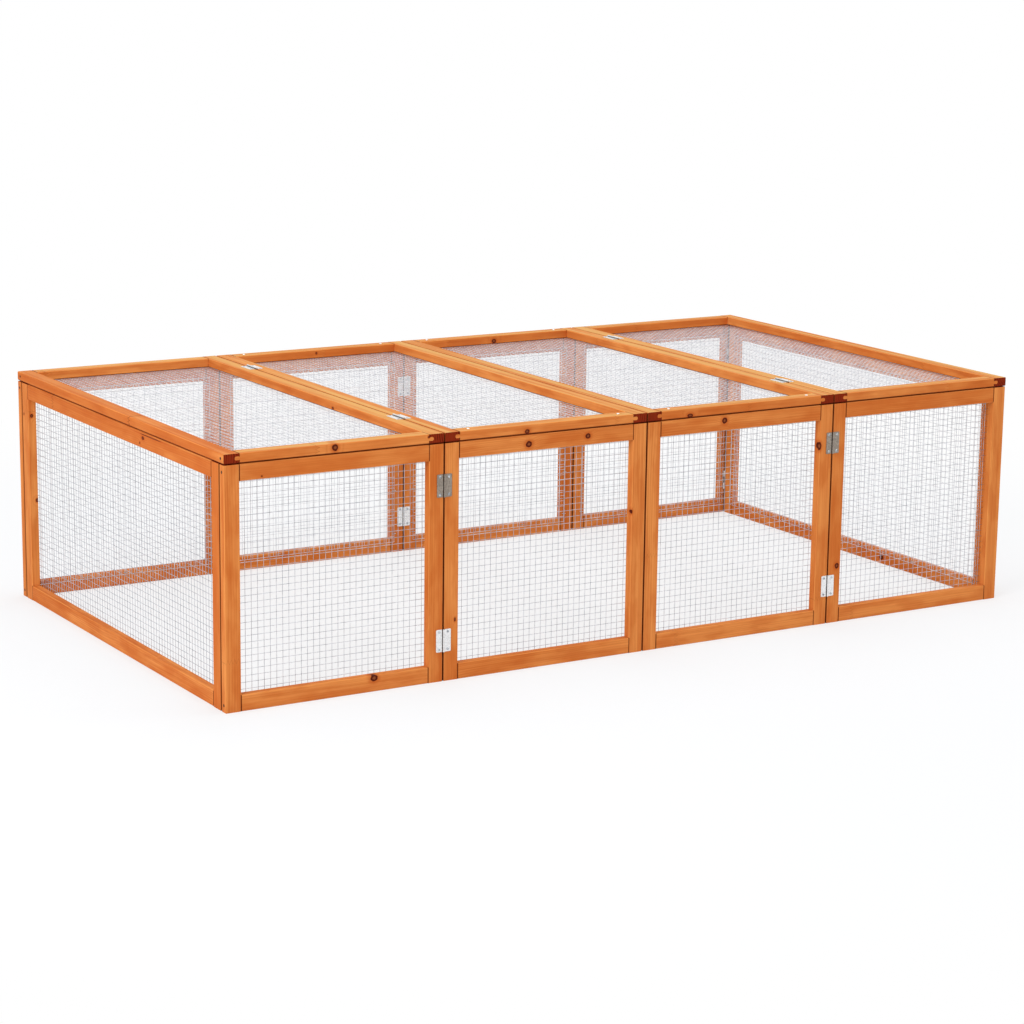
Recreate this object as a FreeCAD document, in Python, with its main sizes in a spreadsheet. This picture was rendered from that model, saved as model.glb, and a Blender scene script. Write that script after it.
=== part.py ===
import FreeCAD, Part
import os
import re
import Sketcher

# A low folding run for small animals. Four framed mesh panels make the front wall, four the back wall and
# four the roof, and one long panel closes each side. The walls fold like a bellows on butt hinges, the two
# outer roof panels are lids, and the two inner ones are screwed down and lift off.
#
# Frame: X along the run to the right, Y from the front wall to the back, Z up, origin at the middle of the
# ground. Millimetres. Each panel is built in a frame of its own: x along its width, z along its height and
# y from its outer face through the timber to the mesh inside.

# Driving sizes
SIZES = {
    "run_length": 1815,
    "run_depth": 1000,
    "run_height": 480,
    "panel_gap": 2.5,
    "timber_thickness": 18,
    "stile_width": 31,
    "rail_width": 31,
    "eased_edge": 1.2,
    "tongue_thickness": 7,
    "tongue_length": 9,
    "tongue_ease": 2,
    "tongue_clearance": 0.1,
    "wire_size": 0.9,
    "mesh_pitch": 38.1,
    "wall_mesh_overlap": 8,
    "roof_mesh_overlap": 15,
    "roof_seat_gap": 0.3,
    "hinge_length": 44,
    "leaf_reach": 16,
    "leaf_thickness": 1,
    "knuckle_size": 4,
    "knuckle_gap": 0.3,
    "pin_size": 2,
    "pin_clearance": 0.05,
    "wall_hinge_inset": 80,
    "roof_hinge_inset": 178,
    "screw_size": 3.5,
    "screw_length": 17,
    "screw_head_size": 6,
    "screw_head_height": 1.6,
    "screw_inset": 58,
}

PANELS = 4  # in each long wall and in the roof
KNUCKLES = 3  # of a hinge: two on the leaf that holds the pin, one between them on the other
ROUND_SIDES = 8  # of the knuckles, bores and screws, which are too small and too many to be true rounds

# Sizes that follow from the driving ones
FOLLOWING = {
    "panel_width": f"(run_length - {PANELS - 1} * panel_gap) / {PANELS}",
    "panel_step": "panel_width + panel_gap",
    "mesh_thickness": "2 * wire_size",
    "wall_height": "run_height - timber_thickness - mesh_thickness - roof_seat_gap",
    "side_width": "run_depth - 2 * timber_thickness - 2 * knuckle_size",
    "knuckle_radius": "knuckle_size / 2",
    "knuckle_length": f"(hinge_length - {KNUCKLES - 1} * knuckle_gap) / {KNUCKLES}",
    "leaf_start": "knuckle_radius + knuckle_gap",
    "pin_length": f"hinge_length - {KNUCKLES - 1} * knuckle_length",
    "bore_corner": f"(pin_size / 2 + pin_clearance) / cos(180deg / {ROUND_SIDES})",
    "tongue_low": "timber_thickness / 2 - tongue_thickness / 2",
    "tongue_high": "timber_thickness / 2 + tongue_thickness / 2",
    "inner_axis": "timber_thickness + knuckle_radius",
}

X, Y, Z = FreeCAD.Vector(1, 0, 0), FreeCAD.Vector(0, 1, 0), FreeCAD.Vector(0, 0, 1)

doc = FreeCAD.newDocument("folding_run")
sheet = doc.addObject("Spreadsheet::Sheet", "Sizes")
for row, (name, size) in enumerate(SIZES.items(), start=1):
    sheet.set(f"A{row}", name)
    sheet.set(f"B{row}", str(size))
    sheet.setAlias(f"B{row}", name)
doc.recompute()


def expression(text):
    """Write a formula of named sizes the way that the document reads it."""
    def in_full(match):
        word = match.group(0)
        if word in FOLLOWING:
            return f"({expression(FOLLOWING[word])})"
        return f"Sizes.{word}" if word in SIZES else word

    return re.sub(r"[a-z]+(_[a-z]+)+", in_full, text)


def value(text):
    """The present value of a formula of named sizes."""
    return float(sheet.evalExpression(expression(text)))


def bind(item, **formulas):
    """Drive properties of an object from the sheet."""
    for prop, text in formulas.items():
        item.setExpression(prop, expression(text))
    return item


def place(item, x="0", y="0", z="0", rotation=None):
    """Put an object where three formulas say, turned by a fixed rotation."""
    if rotation:
        item.Placement.Rotation = rotation
    for axis, text in zip("xyz", (x, y, z)):
        item.setExpression(f"Placement.Base.{axis}", expression(text))
    return item


# Sketches

def sketch_on(body, plane_role, name):
    """A sketch on one of the body's own origin planes."""
    plane = next(item for item in body.Origin.OriginFeatures if item.Role == plane_role)
    sketch = body.newObject("Sketcher::SketchObject", name)
    sketch.AttachmentSupport = [(plane, "")]
    sketch.MapMode = "FlatFace"
    return sketch


def tie_point(sketch, geometry, point, x, y):
    """Hold a point of a sketch at two formulas from the sketch's origin."""
    for kind, text in (("DistanceX", x), ("DistanceY", y)):
        index = sketch.addConstraint(Sketcher.Constraint(kind, -1, 1, geometry, point, value(text)))
        sketch.setExpression(f"Constraints[{index}]", expression(text))


def draw_polygon(sketch, corners):
    """A closed outline of straight lines, each corner held by a pair of formulas."""
    points = [FreeCAD.Vector(value(x), value(y), 0) for x, y in corners]
    for start, end in zip(points, points[1:] + points[:1]):
        sketch.addGeometry(Part.LineSegment(start, end))
    for index, (x, y) in enumerate(corners):
        following = (index + 1) % len(corners)
        sketch.addConstraint(Sketcher.Constraint("Coincident", index, 2, following, 1))
        tie_point(sketch, index, 1, x, y)


def draw_box(sketch, x_low, x_high, y_low, y_high):
    draw_polygon(sketch, ((x_low, y_low), (x_high, y_low), (x_high, y_high), (x_low, y_high)))


def draw_eased_box(sketch, x_low, x_high, y_low, y_high, ease):
    """A box with its four corners cut back at 45 degrees."""
    x_in, x_out = f"{x_low} + {ease}", f"{x_high} - {ease}"
    y_in, y_out = f"{y_low} + {ease}", f"{y_high} - {ease}"
    draw_polygon(sketch, (
        (x_in, y_low), (x_out, y_low), (x_high, y_in), (x_high, y_out),
        (x_out, y_high), (x_in, y_high), (x_low, y_out), (x_low, y_in),
    ))


def pad(body, sketch, name, length, reverse=False):
    feature = body.newObject("PartDesign::Pad", name)
    feature.Profile = sketch
    feature.Reversed = reverse
    return bind(feature, Length=length)


def pocket(body, sketch, name, depth, reverse=False):
    feature = body.newObject("PartDesign::Pocket", name)
    feature.Profile = sketch
    feature.Reversed = reverse
    return bind(feature, Length=depth)


def repeat(body, feature, name, axis_role, reach, count):
    """Repeat a feature along an axis of the body, the last copy a whole reach from the first."""
    pattern = body.newObject("PartDesign::LinearPattern", name)
    axis = next(item for item in body.Origin.OriginFeatures if item.Role == axis_role)
    pattern.Originals = [feature]
    pattern.Direction = (axis, [""])
    bind(pattern, Length=reach, Occurrences=count)
    body.Tip = pattern
    return pattern


# Timber

def make_stile(name, height):
    """An upright of a frame, slotted at both ends for the rails' tongues."""
    body = doc.addObject("PartDesign::Body", name)
    section = sketch_on(body, "XY_Plane", f"{name}_section")
    draw_eased_box(section, "0", "stile_width", "0", "timber_thickness", "eased_edge")
    pad(body, section, f"{name}_stick", height)
    end = sketch_on(body, "XY_Plane", f"{name}_slot_outline")
    draw_eased_box(end, "stile_width - tongue_length - tongue_clearance", "stile_width + tongue_length",
                   "tongue_low - tongue_clearance", "tongue_high + tongue_clearance", "tongue_ease")
    slot = pocket(body, end, f"{name}_slot", "rail_width", reverse=True)
    repeat(body, slot, f"{name}_slots", "Z_Axis", f"{height} - rail_width", "2")
    return body


def make_rail(name, panel_width):
    """A crosspiece of a frame, with a blunt-nosed tongue at each end. Its x starts at a tongue's tip."""
    between = f"{panel_width} - 2 * stile_width"
    body = doc.addObject("PartDesign::Body", name)
    section = sketch_on(body, "YZ_Plane", f"{name}_section")
    section.setExpression("AttachmentOffset.Base.z", expression("tongue_length"))
    draw_eased_box(section, "0", "timber_thickness", "0", "rail_width", "eased_edge")
    pad(body, section, f"{name}_stick", between)
    core = sketch_on(body, "XY_Plane", f"{name}_tongue_outline")
    draw_eased_box(core, "0", f"{between} + 2 * tongue_length", "tongue_low", "tongue_high", "tongue_ease")
    pad(body, core, f"{name}_tongues", "rail_width")
    return body


# Wire mesh

def make_wires(name, width, height, upright):
    """One layer of a mesh: parallel wires, joined along one edge by the first wire that crosses them.

    The wires nearest the pitch fill the whole piece, so its edge is a wire on every side."""
    across = width if upright else height
    cells = f"round(({across} - wire_size) / mesh_pitch)"
    step = f"(({across} - wire_size) / {cells})"
    body = doc.addObject("PartDesign::Body", name)
    sheet_outline = sketch_on(body, "XZ_Plane", f"{name}_outline")
    draw_box(sheet_outline, "0", width, "0", height)
    pad(body, sheet_outline, f"{name}_sheet", "wire_size", reverse=True)
    gap_outline = sketch_on(body, "XZ_Plane", f"{name}_gap_outline")
    if upright:
        draw_box(gap_outline, "wire_size", step, "wire_size", f"{height} + wire_size")
    else:
        draw_box(gap_outline, "wire_size", f"{width} + wire_size", "wire_size", step)
    gap = pocket(body, gap_outline, f"{name}_gap", "wire_size")
    repeat(body, gap, f"{name}_gaps", "X_Axis" if upright else "Z_Axis", f"({cells} - 1) * {step}", cells)
    return body


# Bars along z

def make_round(name, radius, z, height):
    """A round bar."""
    bar = doc.addObject("Part::Cylinder", name)
    bind(bar, Radius=radius, Height=height)
    return place(bar, z=z)


def make_bar(name, radius, z, height):
    """A bar with flat sides inside a circle of this radius, one of its flats facing y."""
    bar = doc.addObject("Part::Prism", name)
    bar.Polygon = ROUND_SIDES
    bind(bar, Circumradius=radius, Height=height)
    return place(bar, z=z, rotation=FreeCAD.Rotation(Z, 180 / ROUND_SIDES))


# Hinges: the pin stands along z on the origin, the timber's face lies at y of one knuckle radius, and a
# leaf reaches along x on that face

def make_block(name, x, length, z, height):
    """A plate as thick as a leaf, lying on the timber's face."""
    block = doc.addObject("Part::Box", name)
    bind(block, Length=length, Width="leaf_thickness", Height=height)
    return place(block, x, "knuckle_radius - leaf_thickness", z)


def make_leaf(name, knuckle_places):
    """A leaf and its knuckles in one piece."""
    shapes = [make_block(f"{name}_plate", "leaf_start", "leaf_reach - leaf_start",
                         "-hinge_length / 2", "hinge_length")]
    for index, low in enumerate(knuckle_places):
        shapes.append(make_block(f"{name}_web_{index}", "0", "leaf_start", low, "knuckle_length"))
        shapes.append(make_bar(f"{name}_knuckle_{index}", "knuckle_radius", low, "knuckle_length"))
    leaf = doc.addObject("Part::MultiFuse", name)
    leaf.Shapes = shapes
    leaf.Refine = True
    return leaf


def make_pinned_leaf(name):
    """The leaf with the outer knuckles, and the pin that it holds between them."""
    leaf = make_leaf(f"{name}_plate_and_knuckles", ("-hinge_length / 2", "hinge_length / 2 - knuckle_length"))
    pin = make_round(f"{name}_pin", "pin_size / 2", "-pin_length / 2", "pin_length")
    pair = doc.addObject("Part::Compound", name)
    pair.Links = [leaf, pin]
    return pair


def make_plain_leaf(name):
    """The leaf with the middle knuckle, bored to run on the pin."""
    leaf = doc.addObject("Part::Cut", name)
    leaf.Base = make_leaf(f"{name}_plate_and_knuckle", ("-knuckle_length / 2",))
    leaf.Tool = make_bar(f"{name}_bore", "bore_corner", "-hinge_length / 2", "hinge_length")
    return leaf


def make_screw(name):
    """A wood screw along z, its head standing on the timber's face."""
    screw = doc.addObject("Part::MultiFuse", name)
    screw.Shapes = [
        make_bar(f"{name}_head", "screw_head_size / 2", "-screw_head_height", "screw_head_height"),
        make_bar(f"{name}_shank", "screw_size / 2", "0", "screw_length"),
    ]
    return screw


# The pieces that the panels share

SHAPES = {  # the width and height of each kind of panel, and how far its mesh lies on its timber
    "wall": ("panel_width", "wall_height", "wall_mesh_overlap"),
    "side": ("side_width", "wall_height", "wall_mesh_overlap"),
    "roof": ("panel_width", "run_depth", "roof_mesh_overlap"),
}
LYING = FreeCAD.Rotation(X, -90)  # turns z into a panel's y, and a panel's z into the run's Y
pieces = {
    "pinned": make_pinned_leaf("pinned_leaf"),
    "plain": make_plain_leaf("plain_leaf"),
    "screw": make_screw("roof_screw"),
}
for kind, (width, height, overlap) in SHAPES.items():
    mesh_size = (f"{width} - 2 * stile_width + 2 * {overlap}", f"{height} - 2 * rail_width + 2 * {overlap}")
    pieces[kind] = {
        "stile": make_stile(f"{kind}_stile", height),
        "rail": make_rail(f"{kind}_rail", width),
        "uprights": make_wires(f"{kind}_upright_wires", *mesh_size, upright=True),
        "crossings": make_wires(f"{kind}_crossing_wires", *mesh_size, upright=False),
    }


# Panels

def put(piece, x="0", y="0", z="0", rotation=None):
    """One more use of a shared piece, at a place in its panel."""
    link = doc.addObject("App::Link", "use")
    link.LinkedObject = piece
    return place(link, x, y, z, rotation)


def make_node(label, links, place_in_run):
    """A named group of the pieces of one panel, set where the panel stands."""
    node = doc.addObject("Part::Compound", label)
    node.Label = label
    node.Links = links
    place(node, *place_in_run)
    return node


def leaf_uses(kind, end, face):
    """The two hinge leaves at one end of a panel: on its outer or inner face, in a corner behind it, or on
    the end itself."""
    width, height, _ = SHAPES[kind]
    inset = "roof_hinge_inset" if kind == "roof" else "wall_hinge_inset"
    inward = X if end == "left" else -X
    beyond = {"outer": "panel_gap / 2", "inner": "panel_gap / 2", "end": "knuckle_radius",
              "corner": "-inner_axis"}[face]
    axis_x = f"-({beyond})" if end == "left" else f"{width} + ({beyond})"
    axis_y = "-knuckle_radius" if face == "outer" else "inner_axis"
    along = {"outer": inward, "inner": inward, "end": -Y, "corner": -inward}[face]
    onto = {"outer": Y, "inner": -Y, "end": inward, "corner": -Y}[face]
    rotation = FreeCAD.Rotation(along, onto, along.cross(onto), "XYZ")
    return [(axis_x, axis_y, axis_z, rotation) for axis_z in (inset, f"{height} - {inset}")]


def make_panel(name, kind, leaf_kind, leaf_places, place_in_run):
    """A framed mesh panel with its hinge leaves, in four nodes."""
    width, height, overlap = SHAPES[kind]
    shared = pieces[kind]
    mesh_x, mesh_z = f"stile_width - {overlap}", f"rail_width - {overlap}"
    groups = {
        "stiles": [put(shared["stile"]),
                   put(shared["stile"], width, "timber_thickness", rotation=FreeCAD.Rotation(Z, 180))],
        "rails": [put(shared["rail"], "stile_width - tongue_length"),
                  put(shared["rail"], "stile_width - tongue_length", z=f"{height} - rail_width")],
        "mesh": [put(shared["uprights"], mesh_x, "timber_thickness", mesh_z),
                 put(shared["crossings"], mesh_x, "timber_thickness + wire_size", mesh_z)],
        "hinge_leaves": [put(pieces[leaf_kind], *use)
                         for end, face in leaf_places for use in leaf_uses(kind, end, face)],
    }
    return [make_node(f"{name}_{group}", links, place_in_run) for group, links in groups.items()]


def make_screws(name, place_in_run):
    """The four screws that hold a fixed roof panel, two through each rail."""
    width, height, _ = SHAPES["roof"]
    seats = [(x, z) for x in ("screw_inset", f"{width} - screw_inset")
             for z in ("rail_width / 2", f"{height} - rail_width / 2")]
    return make_node(f"{name}_screws", [put(pieces["screw"], x, z=z, rotation=LYING) for x, z in seats],
                     place_in_run)


# The run

LEFT_EDGE = "-run_length / 2"
# the kind of leaf, and the panel's ends as seen from outside the run, with the faces that carry hinges
WALL_HINGES = (
    ("plain", (("left", "corner"), ("right", "outer"))),
    ("pinned", (("left", "outer"), ("right", "inner"))),
    ("plain", (("left", "inner"), ("right", "outer"))),
    ("pinned", (("left", "outer"), ("right", "corner"))),
)
ROOF_HINGES = (
    ("plain", (("right", "outer"),)),
    ("pinned", (("left", "outer"),)),
    ("pinned", (("right", "outer"),)),
    ("plain", (("left", "outer"),)),
)
OTHER_END = {"left": "right", "right": "left"}
FIXED_ROOF = ("roof_2", "roof_3")

nodes = []
for index in range(PANELS):
    number = index + 1
    edge = f"{LEFT_EDGE} + {index} * panel_step"
    leaf_kind, places = WALL_HINGES[index]
    nodes += make_panel(f"front_{number}", "wall", leaf_kind, places, (edge, "-run_depth / 2", "0", None))
    seen_from_behind = tuple((OTHER_END[end], face) for end, face in places)
    nodes += make_panel(f"back_{number}", "wall", leaf_kind, seen_from_behind,
                        (f"{edge} + panel_width", "run_depth / 2", "0", FreeCAD.Rotation(Z, 180)))
    leaf_kind, places = ROOF_HINGES[index]
    roof_place = (edge, "-run_depth / 2", "run_height", LYING)
    nodes += make_panel(f"roof_{number}", "roof", leaf_kind, places, roof_place)
    if f"roof_{number}" in FIXED_ROOF:
        nodes.append(make_screws(f"roof_{number}", roof_place))

BOTH_ENDS = (("left", "end"), ("right", "end"))
nodes += make_panel("left_side", "side", "pinned", BOTH_ENDS,
                    (LEFT_EDGE, "side_width / 2", "0", FreeCAD.Rotation(Z, -90)))
nodes += make_panel("right_side", "side", "plain", BOTH_ENDS,
                    ("run_length / 2", "-side_width / 2", "0", FreeCAD.Rotation(Z, 90)))

doc.recompute()
for item in doc.Objects:
    if "Invalid" in item.State or "Error" in item.State:
        raise RuntimeError(f"{item.Label} failed: {item.State}")

os.makedirs("parts", exist_ok=True)
for node in nodes:
    if node.Shape.isNull() or not node.Shape.isValid():
        raise RuntimeError(f"{node.Label} has no valid shape")
    node.Shape.exportStep(f"parts/{node.Label}.step")
print(f"{len(nodes)} nodes written")
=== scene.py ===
import random
from math import cos, pi, radians, sin

import bmesh
import bpy
from mathutils import Euler, Matrix, Vector, noise


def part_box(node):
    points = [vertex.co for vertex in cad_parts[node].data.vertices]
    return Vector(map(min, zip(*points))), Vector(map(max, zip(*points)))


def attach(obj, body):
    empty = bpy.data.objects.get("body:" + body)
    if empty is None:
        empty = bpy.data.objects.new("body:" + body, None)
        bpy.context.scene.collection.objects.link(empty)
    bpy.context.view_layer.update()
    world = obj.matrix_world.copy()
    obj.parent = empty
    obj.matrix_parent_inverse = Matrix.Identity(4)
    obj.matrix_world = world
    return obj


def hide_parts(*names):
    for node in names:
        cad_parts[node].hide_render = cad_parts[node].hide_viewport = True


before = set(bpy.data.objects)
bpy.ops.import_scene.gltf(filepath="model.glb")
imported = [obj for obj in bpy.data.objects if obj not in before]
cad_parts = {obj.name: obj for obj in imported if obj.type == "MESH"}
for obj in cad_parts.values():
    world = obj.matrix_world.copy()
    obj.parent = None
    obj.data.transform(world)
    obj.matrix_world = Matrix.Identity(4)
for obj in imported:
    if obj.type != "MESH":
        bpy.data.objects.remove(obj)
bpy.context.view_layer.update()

# A folding wire-mesh run of stained fir, in metres. X runs along it, Y from the front wall to the back.
MM = 0.001
TIMBER = 18 * MM
STICK_WIDTH = 31 * MM
TONGUE = 7 * MM
PANEL_GAP = 2.5 * MM

WIRE = 0.9 * MM
MESH_PITCH = 12.7 * MM
WELD_DEPTH = 0.12 * MM  # how far a crossing wire is pressed into the wires under it
WIRE_SIDES = 8
WIRE_CUTS = 5
WIRE_JITTER = 0.045 * MM
MESH_DRIFT = 0.15 * MM  # the slow waviness of a sheet of mesh
MESH_DRIFTS_PER_METRE = 7
MESH_DRIFT_SEED = 1

HINGE_LENGTH = 44 * MM
LEAF_REACH = 16 * MM
LEAF_THICKNESS = 1 * MM
LEAF_CORNER = 2 * MM
KNUCKLE_RADIUS = 2 * MM
KNUCKLE_GAP = 0.3 * MM
LEAF_NOTCH = 0.9 * MM  # between a leaf's plate and the other leaf's knuckles
KNUCKLE_SHADE_BAND = 1.3 * MM  # width of the painted shade on a plate, beside its knuckles
KNUCKLE_SHADE_DEPTH = 0.8 * KNUCKLE_RADIUS  # reach of the painted shade on a knuckle, outwards from the pin's middle
KNUCKLE_LENGTH = (HINGE_LENGTH - 2 * KNUCKLE_GAP) / 3
KNUCKLE_CURL = radians(285)
KNUCKLE_STEPS = 14
PIN_RADIUS = 0.96 * MM
PIN_PEEN = 0.4 * MM  # how far the pin's rounded ends stand out of the knuckles
PIN_SIDES = 14
WALL_HINGE_INSET = 80 * MM
ROOF_HINGE_INSET = 178 * MM
LEAF_SCREW_REACH = 9.6 * MM  # from the pin
LEAF_SCREW_INSET = 5 * MM  # from the leaf's ends
LEAF_SCREW_RADIUS = 2.7 * MM
LEAF_SCREW_HEIGHT = 0.75 * MM

ROOF_SCREW_INSET = 58 * MM
ROOF_SCREW_RADIUS = 3 * MM
ROOF_SCREW_HEIGHT = 1.5 * MM
ROOF_SHANK_RADIUS = 1.7 * MM
ROOF_SHANK_LENGTH = 16 * MM
SHANK_SIDES = 12
HEAD_PROFILE = ((0.80, 0.88), (1.0, 0.45), (0.97, 0.0))  # shares of a head's radius and height, outwards
RECESS_REACH = 0.46  # of its cross recess, as a share of the radius
RECESS_TAPER = 0.06  # as a share of the radius
RECESS_DEPTH = 0.55  # as a share of the height

NAIL_RADIUS = 3.1 * MM
NAIL_INSET = 13.2 * MM
NAIL_PROUD = 0.08 * MM
NAIL_SIDES = 14
NAIL_TOP = 0.86  # the radius of the head's upper edge, as a share
NAIL_RIM = 0.3  # the width of the rim round its dished middle, as a share of the radius
NAIL_DISH = 0.6  # the depth of that middle, as a share of how proud the head stands

STAPLE_CROWN = 9.5 * MM
STAPLE_WIDTH = 1.1 * MM
STAPLE_THICKNESS = 0.5 * MM
STAPLE_LEG = 3 * MM
STAPLE_SPACING = 93 * MM
STAPLE_END = 45 * MM  # from the ends of a stick to its outer staples
STAPLE_BAND = 4.6 * MM  # from the edge of the mesh
STAPLE_MARGIN = 3 * MESH_PITCH  # the least from the ends of the mesh to the staples along the rails
STAPLE_LEAN = 0.14  # at most, in radians

X, Y, Z = Vector((1, 0, 0)), Vector((0, 1, 0)), Vector((0, 0, 1))


def axis_of(direction):
    return max(range(3), key=lambda axis: abs(direction[axis]))


def turn_to(direction):
    """The turn that takes z to a direction."""
    return Z.rotation_difference(direction).to_matrix().to_4x4()


# Panels

class Panel:
    """A framed panel as seen from outside: u runs to its right and v up from a lower corner, and its outer
    face is at zero depth, with the timber and the mesh behind it."""

    def __init__(self, name, right, up):
        self.name = name
        self.right, self.up = right, up
        out = right.cross(up)
        low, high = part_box(f"{name}_stiles")
        corner = sum((direction * pick(direction.dot(low), direction.dot(high))
                      for direction, pick in ((right, min), (up, min), (out, max))), Vector((0, 0, 0)))
        self.width = abs(right.dot(high - low))
        self.height = abs(up.dot(high - low))
        self.place = Matrix.Translation(corner) @ Matrix((right, up, out)).transposed().to_4x4()

    def span(self, node_name):
        """A node's low and high corners in the panel's own directions."""
        corners = [self.place.inverted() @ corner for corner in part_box(node_name)]
        return Vector(map(min, *corners)), Vector(map(max, *corners))


panels = {f"{wall}_{number}": Panel(f"{wall}_{number}", right, up)
          for wall, right, up in (("front", X, Z), ("back", -X, Z), ("roof", X, Y)) for number in (1, 2, 3, 4)}
panels["left_side"] = Panel("left_side", -Y, Z)
panels["right_side"] = Panel("right_side", Y, Z)


# Shader nodes

def new_material(name):
    material = bpy.data.materials.new(name)
    material.use_nodes = True
    material.node_tree.nodes.clear()
    return material, material.node_tree


def node(tree, kind, sockets=None, **settings):
    """A shader node. Each socket takes a value, or a link from another node's output."""
    made = tree.nodes.new(f"ShaderNode{kind}")
    for name, setting in settings.items():
        setattr(made, name, setting)
    for name, source in (sockets or {}).items():
        if isinstance(source, bpy.types.NodeSocket):
            tree.links.new(source, made.inputs[name])
        else:
            made.inputs[name].default_value = source
    return made


def math(tree, operation, *values):
    return node(tree, "Math", dict(enumerate(values)), operation=operation).outputs[0]


def absolute(tree, value):
    return math(tree, "ABSOLUTE", value)


def apart(tree, first, second):
    """How far two values are from each other."""
    return absolute(tree, math(tree, "SUBTRACT", first, second))


def greatest(tree, first, *others):
    for other in others:
        first = math(tree, "MAXIMUM", first, other)
    return first


def vector_math(tree, operation, *values, output="Vector"):
    return node(tree, "VectorMath", dict(enumerate(values)), operation=operation).outputs[output]


def fade(tree, value, start, end):
    """1 on the start's side of a soft step and 0 on the end's."""
    return node(tree, "MapRange", {"Value": value, "From Min": start, "From Max": end, "To Min": 1.0,
                                   "To Max": 0.0}, interpolation_type="SMOOTHSTEP").outputs[0]


def blend_colour(tree, share, first, second):
    return node(tree, "Mix", {0: share, 6: first, 7: second}, data_type="RGBA").outputs[2]


def tinted(tree, colour, share, strength, tint):
    """A colour with a tint over it, at its full strength where the share is 1."""
    return blend_colour(tree, math(tree, "MULTIPLY", share, strength), colour, tint)


def noise_at(tree, coordinates, scales, detail=2.0):
    """Noise from 0 to 1, with its own number of waves per metre along each axis."""
    stretched = vector_math(tree, "MULTIPLY", coordinates, scales)
    return node(tree, "TexNoise", {"Vector": stretched, "Scale": 1.0, "Detail": detail}).outputs[0]


def finish_surface(tree, height, bump, bump_depth, **sockets):
    """The shader itself, with a bump whose depth is in metres."""
    raised = node(tree, "Bump", {"Height": height, "Strength": bump, "Distance": bump_depth})
    shader = node(tree, "BsdfPrincipled", {"Normal": raised.outputs[0], **sockets})
    node(tree, "OutputMaterial", {"Surface": shader.outputs[0]})


# Stained fir

PALE_FIR = (0.80, 0.292, 0.074, 1)
WARM_FIR = (0.66, 0.186, 0.037, 1)
RED_FIR = (0.55, 0.116, 0.018, 1)
LATE_WOOD = (0.44, 0.080, 0.012, 1)
END_GRAIN = (0.250, 0.025, 0.006, 1)
END_RINGS = (0.075, 0.006, 0.002, 1)
KNOT_HALO = (0.50, 0.085, 0.012, 1)
KNOT_RIM = (0.090, 0.012, 0.005, 1)
KNOT_HEART = (0.26, 0.070, 0.023, 1)
# pooled stain and painted shade at the joints, also the lines of the finger joints
JOINT_LINE = (0.10, 0.010, 0.003, 1)
# painted shade in the gaps where panels meet
PAINTED_SEAM_SHADE = (0.10, 0.009, 0.003, 1)
# eased edges worn paler, with a painted highlight
WORN_AND_LIT_EDGE = (0.88, 0.36, 0.10, 1)
# a painted sheen on the roof's tops
PAINTED_SHEEN_FIR = (0.70, 0.40, 0.125, 1)

# the turns that lay grain along X, Y or Z on the pattern's own X
GRAIN_TURNS = ((0, 0, 0), (0, 0, -pi / 2), (0, pi / 2, 0))

# the wood's patterns, in waves per metre along the grain and in the two directions across it
RING_DRIFT = (2.1, 11, 11)
RING_DEPTH = (0.9, 38, 38)
BLOTCHES = (7, 21, 21)
CLOUDS = (13, 44, 44)
STREAKS = (1.6, 105, 105)
FIBRES = (7, 620, 620)

HEART_REACH = (9, 0.10, 0.06)  # how far the heart of the tree may be from a panel's middle, in those directions
RING_WIDTHS = (3.2, 5.2)  # in millimetres
RING_WANDER = 34 * MM
LENGTH_SHIFT = 40 * MM  # at most, between the rings of two jointed lengths
KNOT_PUSH = 6 * MM  # how far the rings give way to a knot
KNOT_TAPER = 0.35  # how slowly a knot ends along the way it runs in, against across it
KNOT_RAGGEDNESS = 190  # waves per metre

JUNCTION = 454.375 * MM  # from one junction between panels to the next
SIDE_END = 478 * MM  # from the middle of the run to the ends of the side walls
SIDE_INSIDE = 889.5 * MM  # from there to the inner faces of the side walls
LONG_INSIDE = 482 * MM  # and of the front and back walls
ROOF_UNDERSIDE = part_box("roof_1_stiles")[0].z
FINGER = 3.5 * MM  # half the pitch of the teeth of a finger joint
FINGER_LENGTH = 2.5  # times that
JOINTED_LENGTH = 960 * MM  # from one finger joint in a stick to the next
STICK_STAGGER = 137 * MM  # between the joints of the two sticks of a pair
STICK_SEED = 17  # between the random tones of the two
PLAINNESS = 0.2  # of the lines of a finger joint that isn't listed
FINGER_JOINTS = {  # where one of the first stick's joints is, and how plain the lines on the two sticks are
    "roof_1_stiles": (-73 * MM, 1.0, 0.05),
    "roof_1_rails": (-715 * MM, 0.3, 0.3),
    "left_side_rails": (451 * MM, 0.2, 0.6),
}
PAINTED_TOP_SHEEN = {"roof_1_stiles": (0.25, 1.0)}  # how strong the painted sheen is on the tops of a roof panel's two sticks

PALER = {  # how much paler than their random tone the two sticks of a pair are
    "front_1_stiles": (0.12, -0.16),
    "front_1_rails": (0.22, -0.22),
    "front_2_stiles": (-0.03, 0.52),
    "front_2_rails": (0.16, 0.0),
    "front_3_stiles": (0.14, 0.10),
    "front_3_rails": (0.14, -0.14),
    "front_4_stiles": (0.0, 0.26),
    "front_4_rails": (0.20, 0.0),
    "left_side_stiles": (-0.25, 0.22),
    "left_side_rails": (0.16, -0.42),
    "roof_1_stiles": (-0.14, 0.0),
}

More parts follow.
